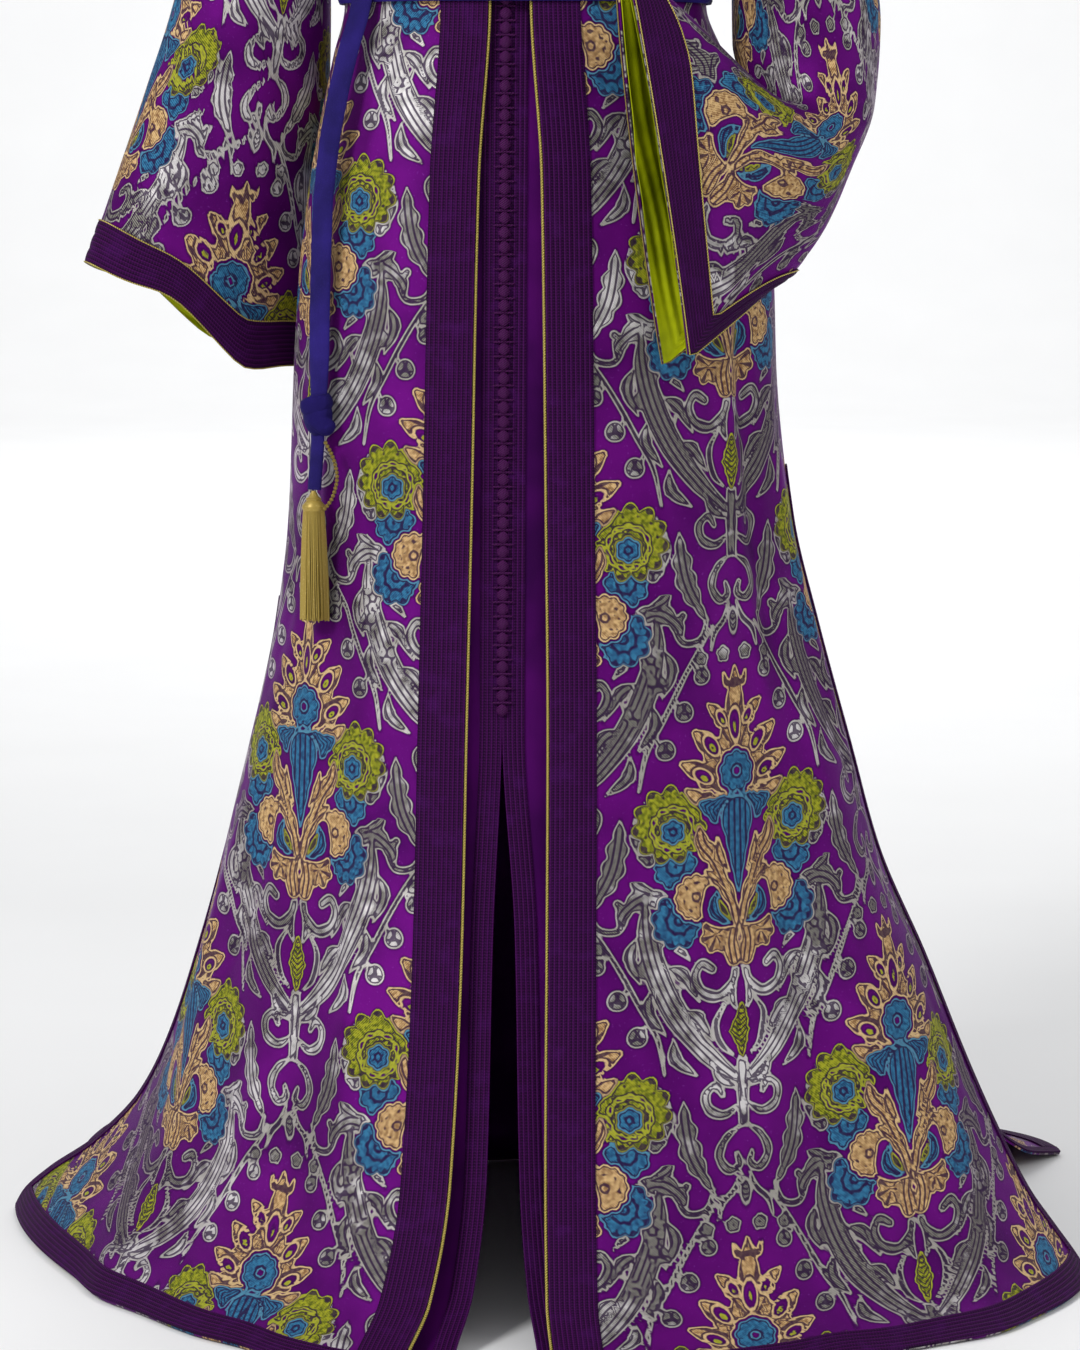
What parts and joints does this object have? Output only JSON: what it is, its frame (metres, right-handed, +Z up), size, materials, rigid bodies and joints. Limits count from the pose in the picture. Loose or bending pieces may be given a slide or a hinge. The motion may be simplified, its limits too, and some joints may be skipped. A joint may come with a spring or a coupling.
{
  "type": "kaftan dress",
  "caption": "Long open brocade kaftan coat with bell sleeves and braid bands, over a buttoned satin underdress, held at the waist by a tied fabric belt with a tassel.",
  "frame": {"origin": "base of the neck, midway between the shoulders, at the height of the shoulder line's top", "axes": "+Z up, the front faces -Y, +X to the viewer's right"},
  "size_m": [0.9427, 0.8643, 1.4302],
  "materials": {
    "brocade": "satin brocade with woven metallic motifs",
    "band": "matte stitched braid",
    "piping": "metallic thread cord",
    "lining": "glossy satin",
    "satin": "glossy satin",
    "button": "knotted thread",
    "navy": "matte crepe",
    "gold": "lustrous thread"
  },
  "bodies": {
    "root": {"coat_front_left": "brocade", "coat_front_right": "brocade", "coat_back": "brocade", "sleeve_left": "brocade", "sleeve_right": "brocade", "sleeve_lining_left": "lining", "sleeve_lining_right": "lining", "cuff_band_left": "band", "cuff_band_right": "band", "front_band_left": "band", "front_band_right": "band", "hem_band_front_left": "band", "hem_band_front_right": "band", "hem_band_back": "band", "slit_band_front_left": "band", "slit_band_front_right": "band", "slit_band_back_left": "band", "slit_band_back_right": "band", "neck_band": "band", "front_piping_left": "piping", "front_piping_right": "piping", "under_front_left": "satin", "under_front_right": "satin", "under_back": "satin", "placket_left": "band", "placket_right": "band", "button_row": "button", "belt": "navy", "belt_tie": "navy", "tie_knot": "navy", "tie_tail": "navy", "tassel": "gold"}
  },
  "joints": []
}
